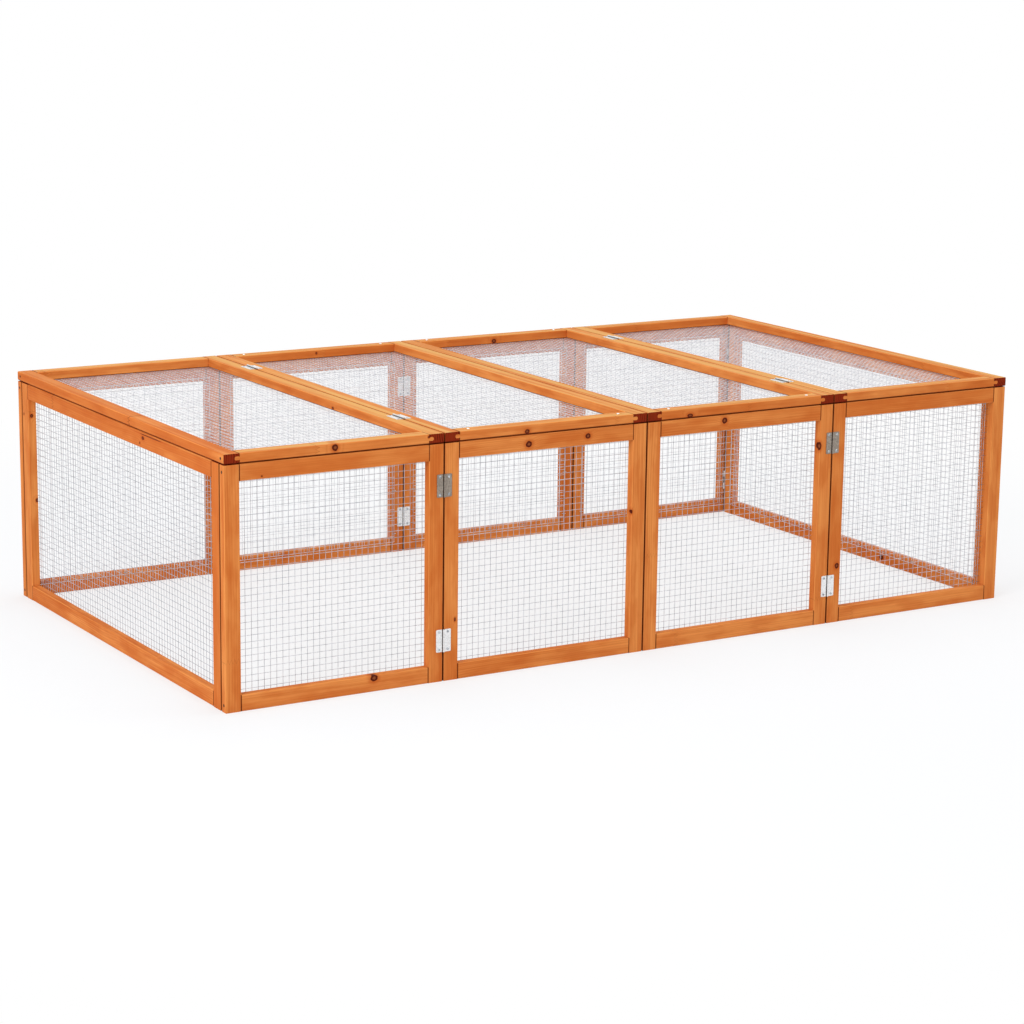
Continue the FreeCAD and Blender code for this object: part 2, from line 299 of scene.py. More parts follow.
KNOTS = {  # the way a knot runs in, its middle and radius in millimetres, and its stretch along the grain
    "roof_1_rails": (("Y", -684, -500, 473, 6.5, 1), ("Y", -488, -500, 475, 2.2, 1)),
    "roof_1_stiles": (("X", -485, -110, 466, 2.6, 1.6),),
    "roof_2_rails": (("Y", -274, -500, 467, 4.5, 1.2), ("Y", -227, 469, 473, 2.8, 0.8)),
    "roof_3_rails": (("Y", 100.5, -500, 466, 4, 1.7), ("Y", 226, 469, 468, 5, 1.2)),
    "front_1_rails": (("Y", -602.5, -500, 26.3, 6.5, 1.2), ("Y", -832, -500, 434, 1.7, 1)),
    "front_2_rails": (("Y", -270, -500, 442, 6.3, 1.1), ("Y", -137, -500, 446, 5.4, 1.1)),
    "front_2_stiles": (("Y", -34, -500, 286, 3.5, 1.4), ("Y", -429, -500, 118, 2, 2)),
    "front_3_rails": (("Y", 184, -500, 449, 6.3, 1),),
    "front_3_stiles": (("Y", 421.6, -500, 375.6, 4.6, 1.9),),
    "front_4_stiles": (("Y", 477.2, -500, 119.8, 5.4, 1.1), ("Y", 868, -500, 370, 2.6, 1.6)),
    "left_side_rails": (("X", -907.5, -128.5, 437.5, 2.2, 1), ("X", -907.5, -143.6, 449, 3.6, 1.6),
                        ("X", -907.5, -180, 456, 1.0, 50)),
    "left_side_stiles": (("X", -907.5, 470, 395, 2.2, 1.2), ("Y", -900, 447, 394, 3.4, 1.2),
                         ("Y", -892, 447, 214, 3.2, 1.3)),
    "right_side_rails": (("X", 889.5, -133, 14.6, 6, 1.2), ("X", 907.5, 210, 440, 5.5, 1.3)),
    "back_2_rails": (("Y", -300, 500, 20, 6, 1.2),),
    "back_3_stiles": (("Y", 30, 500, 210, 5, 1.4),),
    "back_4_rails": (("Y", 700, 500, 446, 5, 1.2),),
}


def knot_distance(tree, place, grain, run_in, *sizes):
    """How far a point is from a knot's middle, counted in the knot's own radii."""
    *middle, radius, stretch = sizes
    scale = [1 / (radius * MM)] * 3
    scale[grain] /= stretch
    scale["XYZ".index(run_in)] *= KNOT_TAPER
    offset = vector_math(tree, "SUBTRACT", place, [size * MM for size in middle])
    distance = vector_math(tree, "LENGTH", vector_math(tree, "MULTIPLY", offset, scale), output="Value")
    ragged = noise_at(tree, place, (KNOT_RAGGEDNESS,) * 3)
    return math(tree, "MULTIPLY_ADD", ragged, 0.5, math(tree, "SUBTRACT", distance, 0.25))


def per_stick(tree, high_stick, low, high):
    """A value of its own for each of a pair's two sticks."""
    return math(tree, "MULTIPLY_ADD", high_stick, high - low, low)


def stained_fir(panel, sticks):
    """Fir under an orange stain, for the stiles or the rails of one panel: sticks finger-jointed from lengths
    of their own tone, growth rings and fibres along the grain, knots, dark thirsty end grain, eased edges worn
    paler under a painted highlight, a painted sheen on the roof's tops, joints dark with pooled stain and
    painted shade, and painted shade where the panels meet."""
    pair = f"{panel.name}_{sticks}"
    on_roof = panel.name.startswith("roof")
    rng = random.Random(f"{panel.name} {sticks}")
    grain = axis_of(panel.up if sticks == "stiles" else panel.right)
    right, up = axis_of(panel.right), axis_of(panel.up)
    depth = 3 - right - up
    across = right + up - grain
    centre = panel.place @ Vector((panel.width / 2, panel.height / 2, -TIMBER / 2))
    turn = Euler(GRAIN_TURNS[grain])
    heart = Vector([rng.uniform(-reach, reach) for reach in HEART_REACH])

    material, tree = new_material(f"stained_fir_{pair}")
    surface = node(tree, "TexCoord")
    place = surface.outputs["Object"]
    position = node(tree, "SeparateXYZ", {"Vector": place}).outputs
    turned = node(tree, "Mapping", {"Vector": place, "Rotation": turn,
                                    "Location": heart - turn.to_matrix() @ centre}).outputs[0]
    knots = [knot_distance(tree, place, grain, *knot) for knot in KNOTS.get(pair, ())]

    # the lengths that each stick is finger-jointed from, each of a tone of its own
    by_chance = rng.uniform(0, JOINTED_LENGTH), PLAINNESS, PLAINNESS
    joint_at, plain_low, plain_high = FINGER_JOINTS.get(pair, by_chance)
    teeth = math(tree, "PINGPONG", position[depth if on_roof else across], FINGER)
    high_stick = math(tree, "GREATER_THAN", position[across], centre[across])
    run = math(tree, "MULTIPLY_ADD", teeth, FINGER_LENGTH, math(tree, "SUBTRACT", position[grain], joint_at))
    run = math(tree, "MULTIPLY_ADD", high_stick, STICK_STAGGER, run)
    run = math(tree, "DIVIDE", run, JOINTED_LENGTH)
    seed = math(tree, "MULTIPLY_ADD", high_stick, STICK_SEED, math(tree, "FLOOR", run))
    tone = node(tree, "TexWhiteNoise", {"W": math(tree, "ADD", seed, rng.uniform(0, 900))},
                noise_dimensions="1D").outputs["Value"]
    finger_line = fade(tree, apart(tree, run, math(tree, "ROUND", run)),
                       0.4 * MM / JOINTED_LENGTH, 1.4 * MM / JOINTED_LENGTH)
    finger_line = math(tree, "MULTIPLY", finger_line, per_stick(tree, high_stick, plain_low, plain_high))

    # growth rings round the heart of the tree, pushed aside by the knots
    from_heart = vector_math(tree, "LENGTH", vector_math(tree, "MULTIPLY", turned, (0, 1, 1)), output="Value")
    from_heart = math(tree, "MULTIPLY_ADD", noise_at(tree, turned, RING_DRIFT), RING_WANDER, from_heart)
    from_heart = math(tree, "MULTIPLY_ADD", tone, LENGTH_SHIFT, from_heart)
    for distance in knots:
        from_heart = math(tree, "MULTIPLY_ADD", fade(tree, distance, 0.4, 4.2), KNOT_PUSH, from_heart)
    ring_width = rng.uniform(*RING_WIDTHS) * MM
    ring_wave = math(tree, "SINE", math(tree, "MULTIPLY", from_heart, 2 * pi / ring_width))
    ring_depth = fade(tree, noise_at(tree, turned, RING_DEPTH), 0.66, 0.34)
    rings = math(tree, "POWER", math(tree, "MULTIPLY_ADD", ring_wave, 0.5, 0.5), 2.6)
    late_wood = math(tree, "MULTIPLY", rings, math(tree, "MULTIPLY_ADD", ring_depth, 0.8, 0.2))

    # the stain: blotches, clouds, streaks and fine fibres
    blotches = noise_at(tree, turned, BLOTCHES)
    clouds = noise_at(tree, turned, CLOUDS, 3.0)
    streaks = noise_at(tree, turned, STREAKS, 3.0)
    fibres = noise_at(tree, turned, FIBRES, 3.0)
    warmth = math(tree, "MULTIPLY_ADD", tone, 0.38, blotches)
    warmth = math(tree, "SUBTRACT", warmth, per_stick(tree, high_stick, *PALER.get(pair, (0.0, 0.0))))
    colour = blend_colour(tree, fade(tree, warmth, 0.92, 0.46), PALE_FIR, WARM_FIR)
    colour = tinted(tree, colour, fade(tree, clouds, 0.64, 0.40), 0.42, RED_FIR)
    colour = tinted(tree, colour, fade(tree, streaks, 0.64, 0.40), 0.34, RED_FIR)
    colour = tinted(tree, colour, late_wood, 0.27, LATE_WOOD)
    colour = tinted(tree, colour, fade(tree, fibres, 0.64, 0.44), 0.20, LATE_WOOD)

    # a painted sheen on the roof's tops, and the eased edges, worn paler under a painted highlight
    normal = vector_math(tree, "ABSOLUTE", surface.outputs["Normal"])
    facing = node(tree, "SeparateXYZ", {"Vector": normal}).outputs
    if on_roof:
        painted_sheen = math(tree, "MULTIPLY_ADD", fade(tree, streaks, 0.40, 0.60), 0.62, 0.20)
        painted_sheen = math(tree, "MULTIPLY", painted_sheen, per_stick(tree, high_stick, *PAINTED_TOP_SHEEN.get(pair, (1.0, 1.0))))
        painted_sheen = math(tree, "MULTIPLY", painted_sheen, fade(tree, facing[2], 0.97, 0.88))
        colour = blend_colour(tree, painted_sheen, colour, PAINTED_SHEEN_FIR)
    # the eased edges, worn paler and with a painted highlight
    flattest = greatest(tree, facing[0], facing[1], facing[2])
    worn_and_lit = math(tree, "MULTIPLY", fade(tree, flattest, 0.80, 0.95), fade(tree, blotches, 0.66, 0.34))
    colour = tinted(tree, colour, worn_and_lit, 0.55, WORN_AND_LIT_EDGE)

    # knots, each a lighter heart in a dark rim, with redder wood round it
    for distance in knots:
        colour = tinted(tree, colour, fade(tree, distance, 0.95, 2.3), 0.6, KNOT_HALO)
        colour = blend_colour(tree, fade(tree, distance, 0.86, 1.08), colour, KNOT_RIM)
        colour = blend_colour(tree, fade(tree, distance, 0.22, 0.62), colour, KNOT_HEART)

    # end grain, which drinks the stain
    end = fade(tree, facing[grain], 0.92, 0.75)
    colour = blend_colour(tree, end, colour, blend_colour(tree, late_wood, END_GRAIN, END_RINGS))

    # the joints between stiles and rails, dark with pooled stain and painted shade, and those within the sticks
    from_middle = [apart(tree, position[axis], centre[axis]) for axis in (right, up)]
    from_joint = apart(tree, from_middle[0], panel.width / 2 - STICK_WIDTH)
    opening = panel.height / 2 - STICK_WIDTH
    joint = math(tree, "MULTIPLY", fade(tree, from_joint, 0.5 * MM, 1.5 * MM),
                 fade(tree, from_middle[1], opening + 0.5 * MM, opening - 0.5 * MM))
    if sticks == "rails":
        from_tongue = apart(tree, position[depth], centre[depth])
        joint = math(tree, "MULTIPLY", joint, fade(tree, from_tongue, TONGUE / 2, TONGUE / 2 - 1 * MM))
    lines = greatest(tree, math(tree, "MULTIPLY", joint, 0.92), finger_line)
    colour = blend_colour(tree, lines, colour, JOINT_LINE)

    # painted shade on the faces that meet the next panel, under the roof and in the inner corners
    x, y = absolute(tree, position[0]), absolute(tree, position[1])
    under_roof = fade(tree, apart(tree, position[2], ROOF_UNDERSIDE), 1.0 * MM, 1.9 * MM)
    painted_seam_shade = math(tree, "MULTIPLY", under_roof, fade(tree, facing[2], 0.75, 0.92))
    if panel.name.endswith("side"):
        painted_seam_shade = greatest(tree, painted_seam_shade, fade(tree, y, SIDE_END - 0.2 * MM, SIDE_END - 1.2 * MM))
    else:
        from_junction = math(tree, "PINGPONG", position[0], JUNCTION / 2)
        junction = math(tree, "MULTIPLY", fade(tree, from_junction, 1.6 * MM, 2.2 * MM),
                        fade(tree, x, 0.8, 0.85))
        painted_seam_shade = greatest(tree, painted_seam_shade, math(tree, "MULTIPLY", junction, 0.8 if on_roof else 1.0))
    if panel.name.startswith(("front", "back")):
        corner = math(tree, "MULTIPLY", fade(tree, x, SIDE_INSIDE + 0.3 * MM, SIDE_INSIDE - 0.7 * MM),
                      fade(tree, y, LONG_INSIDE + 0.2 * MM, LONG_INSIDE + 1.2 * MM))
        painted_seam_shade = greatest(tree, painted_seam_shade, corner)
    colour = tinted(tree, colour, painted_seam_shade, 0.85, PAINTED_SEAM_SHADE)

    roughness = math(tree, "MULTIPLY_ADD", streaks, 0.16, 0.48)
    roughness = math(tree, "MULTIPLY_ADD", end, 0.25, roughness)
    relief = math(tree, "ADD", math(tree, "MULTIPLY", fibres, 0.6), math(tree, "MULTIPLY", late_wood, 0.4))
    finish_surface(tree, relief, 0.35, 0.25 * MM, **{"Base Color": colour, "Roughness": roughness,
                                                     "Specular IOR Level": 0.03})
    return material


for panel in panels.values():
    for sticks in ("stiles", "rails"):
        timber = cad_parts[f"{panel.name}_{sticks}"]
        for material_slot in timber.material_slots:
            material_slot.material = stained_fir(panel, sticks)


# Metals

# painted shade in the crevices beside the hinge knuckles
KNUCKLE_SHADE = (0.085, 0.075, 0.070, 1)
# a painted dark reflection on the front walls' upper hinges
PAINTED_DARK_REFLECTION = (0.34, 0.29, 0.245, 1)
PAINTED_DARK_REFLECTION_WHOLE, PAINTED_DARK_REFLECTION_GONE = 300 * MM, 200 * MM  # heights above the ground where the painted dark reflection is whole and where it is gone
GRIT = 1800  # waves per metre
WIRE_WEAR = (70, 0.36, 0.5)  # patches per metre, and the roughness of the smooth and the rough ones
ZINC = ((0.88, 0.88, 0.88, 1), (0.74, 0.74, 0.74, 1), 320, 0.24, 0.38)


def metal(name, bright, dull, patches_per_metre, smooth, rough, tarnished=False, knuckle_shaded=False):
    """Plated steel, from bright and smooth to dull and rough in soft patches. It can carry a painted dark
    reflection from a height up, and painted shade beside the knuckles, where an attribute of its mesh says."""
    material, tree = new_material(name)
    place = node(tree, "TexCoord").outputs["Object"]
    patches = noise_at(tree, place, (patches_per_metre,) * 3, 3.0)
    grit = noise_at(tree, place, (GRIT,) * 3)
    wear = fade(tree, patches, 0.62, 0.38)
    colour = blend_colour(tree, wear, bright, dull)
    # painted dark reflection from a height up
    if tarnished:
        height = node(tree, "SeparateXYZ", {"Vector": place}).outputs["Z"]
        dark = blend_colour(tree, wear, PAINTED_DARK_REFLECTION, [share * 0.75 for share in PAINTED_DARK_REFLECTION[:3]] + [1])
        colour = blend_colour(tree, fade(tree, height, PAINTED_DARK_REFLECTION_WHOLE, PAINTED_DARK_REFLECTION_GONE), colour, dark)
    if knuckle_shaded:
        # painted shade beside the knuckles and on their inner halves, read from the mesh's attribute
        grime = node(tree, "Attribute", attribute_name="grime").outputs["Fac"]
        colour = tinted(tree, colour, fade(tree, grime, 0.95, 0.1), 0.8, KNUCKLE_SHADE)
    roughness = math(tree, "MULTIPLY_ADD", wear, rough - smooth, smooth)
    finish_surface(tree, grit, 0.1, 0.05 * MM, **{"Base Color": colour, "Roughness": roughness,
                                                  "Metallic": 1.0})
    return material


# one galvanised wire in two copies: painted darker for the front and left walls, as painted shade, and painted
# lighter for the others, as painted light
painted_shade_wire = metal("galvanised_wire_dull", (0.60, 0.61, 0.65, 1), (0.40, 0.41, 0.45, 1), *WIRE_WEAR)
painted_light_wire = metal("galvanised_wire_bright", (0.80, 0.81, 0.84, 1), (0.62, 0.63, 0.67, 1), *WIRE_WEAR)
zinc_plate = metal("zinc_plate", *ZINC, knuckle_shaded=True)
painted_dark_reflection_plate = metal("zinc_plate_tarnished_above", *ZINC, tarnished=True, knuckle_shaded=True)
screw_steel = metal("bright_screw_steel", (0.60, 0.63, 0.66, 1), (0.32, 0.33, 0.35, 1), 260, 0.24, 0.42)
staple_steel = metal("staple_steel", (0.66, 0.66, 0.66, 1), (0.44, 0.44, 0.45, 1), 200, 0.30, 0.45)
# nail heads painted near black, standing for the shade of the holes they sit in
painted_shade_nail_steel = metal("sunk_nail_steel", (0.035, 0.018, 0.012, 1), (0.012, 0.006, 0.004, 1), 900, 0.45, 0.7)


# Meshes

CREASE = radians(65)  # the least angle of a sharp edge


def to_mesh(bm, name):
    mesh = bpy.data.meshes.new(name)
    bm.to_mesh(mesh)
    bm.free()
    return mesh


def keep_mesh(bm, name):
    """The finished mesh, smooth over everything flatter than a crease."""
    bmesh.ops.recalc_face_normals(bm, faces=bm.faces)
    for edge in bm.edges:
        edge.smooth = edge.calc_face_angle(0) < CREASE
    for face in bm.faces:
        face.smooth = True
    return to_mesh(bm, name)


def copy_in(bm, mesh, place):
    """One more copy of a finished mesh, at a place of its own."""
    already = len(bm.verts)
    bm.from_mesh(mesh)
    bm.verts.ensure_lookup_table()
    bmesh.ops.transform(bm, matrix=place, verts=bm.verts[already:])


def add_object(name, contents):
    made = bpy.data.objects.new(name, contents)
    bpy.context.scene.collection.objects.link(made)
    return made


def make_piece(name, bm, material, body, replaced=()):
    mesh = to_mesh(bm, name)
    mesh.materials.append(material)
    piece = add_object(name, mesh)
    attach(piece, body)
    if replaced:
        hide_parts(*replaced)


def add_box(bm, low, high):
    """A box between two corners. Returns its faces."""
    low, high = Vector(low), Vector(high)
    place = Matrix.LocRotScale((low + high) / 2, None, high - low)
    verts = bmesh.ops.create_cube(bm, size=1, matrix=place)["verts"]
    return list({face for vert in verts for face in vert.link_faces})


def add_rod(bm, radius, length, sides, place=Matrix(), top_radius=None):
    """A rod along z about its place's origin. Returns its vertices."""
    return bmesh.ops.create_cone(bm, cap_ends=True, segments=sides, radius1=radius,
                                 radius2=radius if top_radius is None else top_radius,
                                 depth=length, matrix=place)["verts"]


def round_off(bm, edges, offset, segments):
    bmesh.ops.bevel(bm, geom=edges, offset=offset, offset_type="OFFSET", segments=segments, profile=0.5,
                    affect="EDGES", material=-1)


def face_towards(faces, direction):
    """The face that lies furthest in a direction."""
    return max(faces, key=lambda face: face.calc_center_median().dot(direction))


# Welded mesh

noise.seed_set(MESH_DRIFT_SEED)  # without it the clock seeds the noise, and each run has other wires


def wire_grid(panel):
    """Both layers of a panel's mesh: its uprights on the timber, and the wires welded across them. Returns
    the layers' positions with the mesh's low and high corners."""
    low, high = panel.span(f"{panel.name}_mesh")
    layers = {}
    for layer, spread in (("uprights", 0), ("crossings", 1)):
        reach = high[spread] - low[spread] - WIRE
        cells = round(reach / MESH_PITCH)
        layers[layer] = [low[spread] + WIRE / 2 + reach * index / cells for index in range(cells + 1)]
    return layers, low, high


def drift(point, seed):
    """The slow waviness of a sheet, in its own plane."""
    flat = Vector((point.x, point.y, 0))
    u, v, _ = noise.noise_vector(flat * MESH_DRIFTS_PER_METRE + Vector((0, 0, seed)))
    return Vector((u, v, 0)) * MESH_DRIFT


def wire_mesh(panel):
    rng = random.Random(f"{panel.name} wires")
    layers, low, high = wire_grid(panel)
    bm = bmesh.new()
    for layer, along, depth in (("uprights", Y, -TIMBER - WIRE / 2),
                                ("crossings", X, -TIMBER - 3 * WIRE / 2 + WELD_DEPTH)):
        run = axis_of(along)
        for position in layers[layer]:
            centre = Vector((position, position, depth)) + X * rng.uniform(-WIRE_JITTER, WIRE_JITTER)
            centre[run] = (low[run] + high[run]) / 2
            add_rod(bm, WIRE / 2, high[run] - low[run], WIRE_SIDES, Matrix.Translation(centre) @ turn_to(along))
    long_edges = [edge for edge in bm.edges if edge.calc_length() > 2 * WIRE]
    bmesh.ops.subdivide_edges(bm, edges=long_edges, cuts=WIRE_CUTS, use_grid_fill=True)
    seed = rng.uniform(0, 90)
    for vert in bm.verts:
        vert.co += drift(vert.co, seed)
    return keep_mesh(bm, f"{panel.name}_wires")


# Staples that hold the mesh, and the nails through the frames' tongues

def staple_mesh():
    """A bent wire staple along x, its crown passing over an upright and its legs in the timber."""
    bend = STAPLE_THICKNESS  # the inner radius of its corners
    corner_reach = STAPLE_THICKNESS + bend
    side = STAPLE_CROWN / 2
    bm = bmesh.new()

    def straight(face, way, length):
        moved = bmesh.ops.extrude_discrete_faces(bm, faces=[face])["faces"][0]
        bmesh.ops.translate(bm, vec=way * length, verts=moved.verts)
        return moved

    def corner(face, pivot_x, pivot_z):
        turned = bmesh.ops.spin(bm, geom=[face], cent=(pivot_x, 0, pivot_z), axis=Y, dvec=(0, 0, 0),
                                angle=-pi / 2, steps=3)
        return next(part for part in turned["geom_last"] if isinstance(part, bmesh.types.BMFace))

    start = add_box(bm, (-side, -STAPLE_WIDTH / 2, STAPLE_LEG - STAPLE_THICKNESS),
                    (-side + STAPLE_THICKNESS, STAPLE_WIDTH / 2, STAPLE_LEG))
    tip = straight(face_towards(start, -Z), -Z, STAPLE_LEG + WIRE - corner_reach)
    tip = corner(tip, -side + corner_reach, tip.calc_center_median().z)
    tip = straight(tip, X, STAPLE_CROWN - 2 * corner_reach)
    tip = corner(tip, side - corner_reach, tip.calc_center_median().z + bend + STAPLE_THICKNESS / 2)
    straight(tip, Z, STAPLE_LEG)
    return keep_mesh(bm, "staple")


def spaced(length):
    """Even places along a stick for its staples."""
    steps = round((length - 2 * STAPLE_END) / STAPLE_SPACING)
    return [STAPLE_END + (length - 2 * STAPLE_END) * index / steps for index in range(steps + 1)]


def staples(panel, staple):
    """Staples over the outer uprights, halfway between crossing wires, and over uprights along the rails."""
    rng = random.Random(f"{panel.name} staples")
    layers, low, high = wire_grid(panel)
    crossings, uprights = layers["crossings"], layers["uprights"]
    between = [(first + second) / 2 for first, second in zip(crossings, crossings[1:])]
    seats = [(u, min(between, key=lambda place: abs(place - v)))
             for u in (uprights[0], uprights[-1]) for v in spaced(panel.height)]
    seats += [(min(uprights, key=lambda place: abs(place - u)), v)
              for v in (low.y + STAPLE_BAND, high.y - STAPLE_BAND) for u in spaced(panel.width)
              if low.x + STAPLE_MARGIN < u < high.x - STAPLE_MARGIN]
    bm = bmesh.new()
    for u, v in seats:
        lean = Matrix.Rotation(rng.uniform(-STAPLE_LEAN, STAPLE_LEAN), 4, "Z")
        copy_in(bm, staple, panel.place @ Matrix.Translation((u, v, -TIMBER)) @ lean)
    return bm


def nail_mesh():
    """A nail's head, pointing along z, driven nearly flush."""
    bm = bmesh.new()
    add_rod(bm, NAIL_RADIUS, 2 * NAIL_PROUD, NAIL_SIDES, top_radius=NAIL_RADIUS * NAIL_TOP)
    top = face_towards(bm.faces, Z)
    bmesh.ops.inset_region(bm, faces=[top], thickness=NAIL_RADIUS * NAIL_RIM, depth=-NAIL_PROUD * NAIL_DISH)
    return keep_mesh(bm, "nail_head")


def nails(panel, nail):
    """The nails in the outer edges of a frame, one through each tongue."""
    bm = bmesh.new()
    for u, way in ((0, -X), (panel.width, X)):
        for v in (NAIL_INSET, panel.height - NAIL_INSET):
            copy_in(bm, nail, panel.place @ Matrix.Translation((u, v, -TIMBER / 2)) @ turn_to(way))
    return bm


# Screws

def screw_head_mesh(name, radius, height, shank_radius=0.0, shank_length=0.0):
    """A domed screw head on the ground plane, with a cross recess, and its shank below."""
    bm = bmesh.new()
    reach = radius * RECESS_REACH
    bmesh.ops.create_grid(bm, x_segments=3, y_segments=3, size=reach)
    cross = [face for face in bm.faces if min(map(abs, face.calc_center_median().xy)) < reach / 3]
    bmesh.ops.translate(bm, vec=Z * height, verts=bm.verts)
    edges = [edge for edge in bm.edges if edge.is_boundary]
    for share, level in HEAD_PROFILE:
        grown = bmesh.ops.extrude_edge_only(bm, edges=edges)["geom"]
        edges = [part for part in grown if isinstance(part, bmesh.types.BMEdge)]
        for vert in {vert for edge in edges for vert in edge.verts}:
            flat = Vector((vert.co.x, vert.co.y, 0)).normalized() * radius * share
            vert.co = flat + Z * height * level
    bmesh.ops.contextual_create(bm, geom=edges)
    bmesh.ops.inset_region(bm, faces=cross, thickness=radius * RECESS_TAPER, depth=-height * RECESS_DEPTH)
    if shank_length:
        add_rod(bm, shank_radius, shank_length, SHANK_SIDES, Matrix.Translation(-Z * shank_length / 2))
    return keep_mesh(bm, name)


# Hinges. A leaf's own frame: the pin along z, the timber's face at y of one knuckle radius, and the plate
# reaching along x on that face

def add_knuckle(bm, low):
    """A web of the leaf's sheet, curled round the pin."""
    web = add_box(bm, (0, KNUCKLE_RADIUS - LEAF_THICKNESS, low),
                  (KNUCKLE_RADIUS + LEAF_NOTCH, KNUCKLE_RADIUS, low + KNUCKLE_LENGTH))
    bmesh.ops.spin(bm, geom=[face_towards(web, -X)], cent=(0, 0, 0), axis=Z, dvec=(0, 0, 0), angle=KNUCKLE_CURL,
                   steps=KNUCKLE_STEPS)


def leaf_mesh(name, knuckle_lows, pinned):
    """A leaf with its knuckles and, if it is pinned, the pin. Its attribute of painted shade is 1 beside the
    knuckles and on their inner halves."""
    half = HINGE_LENGTH / 2
    plate_from = KNUCKLE_RADIUS + LEAF_NOTCH
    bm = bmesh.new()
    plate = add_box(bm, (plate_from, KNUCKLE_RADIUS - LEAF_THICKNESS, -half),
                    (LEAF_REACH, KNUCKLE_RADIUS, half))
    outer_end = face_towards(plate, X)
    corners = [edge for edge in outer_end.edges
               if abs(edge.verts[0].co.y - edge.verts[1].co.y) > LEAF_THICKNESS / 2]
    round_off(bm, corners, LEAF_CORNER, 4)
    bmesh.ops.bisect_plane(bm, geom=bm.verts[:] + bm.edges[:] + bm.faces[:], plane_no=X,
                           plane_co=(plate_from + KNUCKLE_SHADE_BAND, 0, 0))
    for low in knuckle_lows:
        add_knuckle(bm, low)
    # painted shade: 1 beside the knuckles and on their inner halves, fading away from them
    grime = bm.verts.layers.float.new("grime")
    for vert in bm.verts:
        if vert.co.x <= plate_from:
            vert[grime] = min(1, max(0, 1 + vert.co.y / KNUCKLE_SHADE_DEPTH))
    if pinned:
        pin = add_rod(bm, PIN_RADIUS, HINGE_LENGTH + 2 * PIN_PEEN, PIN_SIDES)
        rims = {edge for vert in pin for edge in vert.link_edges
                if abs(edge.verts[0].co.z - edge.verts[1].co.z) < PIN_PEEN}
        round_off(bm, list(rims), PIN_PEEN, 2)
    return keep_mesh(bm, name)


OUTER_KNUCKLES = (-HINGE_LENGTH / 2, HINGE_LENGTH / 2 - KNUCKLE_LENGTH)
leaf_meshes = {
    "pinned": leaf_mesh("pinned_leaf", OUTER_KNUCKLES, True),
    "plain": leaf_mesh("plain_leaf", (-KNUCKLE_LENGTH / 2,), False),
}

# which leaf a panel has, and the ends and faces that carry it, as seen from outside
WALL_LEAVES = (
    ("plain", (("left", "corner"), ("right", "outer"))),
    ("pinned", (("left", "outer"), ("right", "inner"))),
    ("plain", (("left", "inner"), ("right", "outer"))),
    ("pinned", (("left", "outer"), ("right", "corner"))),
)
ROOF_LEAVES = (
    ("plain", (("right", "outer"),)),
    ("pinned", (("left", "outer"),)),
    ("pinned", (("right", "outer"),)),
    ("plain", (("left", "outer"),)),
)
BOTH_ENDS = (("left", "end"), ("right", "end"))
OTHER_END = {"left": "right", "right": "left"}

leaves = {"left_side": ("pinned", BOTH_ENDS), "right_side": ("plain", BOTH_ENDS)}
for number, ((kind, places), roof_leaf) in enumerate(zip(WALL_LEAVES, ROOF_LEAVES), 1):
    leaves[f"front_{number}"] = kind, places
    leaves[f"back_{number}"] = kind, tuple((OTHER_END[end], face) for end, face in places)
    leaves[f"roof_{number}"] = roof_leaf

INNER_AXIS = TIMBER + KNUCKLE_RADIUS


def leaf_places(panel, end, face):
    """Where the two leaves at one end of a panel go."""
    inward = X if end == "left" else -X
    beyond = {"outer": PANEL_GAP / 2, "inner": PANEL_GAP / 2, "end": KNUCKLE_RADIUS,
              "corner": -INNER_AXIS}[face]
    u = -beyond if end == "left" else panel.width + beyond
    depth = KNUCKLE_RADIUS if face == "outer" else -INNER_AXIS
    along = {"outer": inward, "inner": inward, "end": Z, "corner": -inward}[face]
    onto = {"outer": -Z, "inner": Z, "end": inward, "corner": Z}[face]
    turn = Matrix((along, onto, along.cross(onto))).transposed().to_4x4()
    inset = ROOF_HINGE_INSET if panel.name.startswith("roof") else WALL_HINGE_INSET
    return [panel.place @ Matrix.Translation((u, v, depth)) @ turn for v in (inset, panel.height - inset)]


def half_turn(rng):
    """The turn that a screw happened to end at."""
    return Matrix.Rotation(rng.uniform(0, pi), 4, "Z")


leaf_screw = screw_head_mesh("leaf_screw", LEAF_SCREW_RADIUS, LEAF_SCREW_HEIGHT)
roof_screw = screw_head_mesh("roof_screw", ROOF_SCREW_RADIUS, ROOF_SCREW_HEIGHT, ROOF_SHANK_RADIUS,
                             ROOF_SHANK_LENGTH)
staple = staple_mesh()
nail = nail_mesh()
OFF_THE_LEAF = Matrix.Rotation(pi / 2, 4, "X")  # turns a screw's z to the leaf's -y

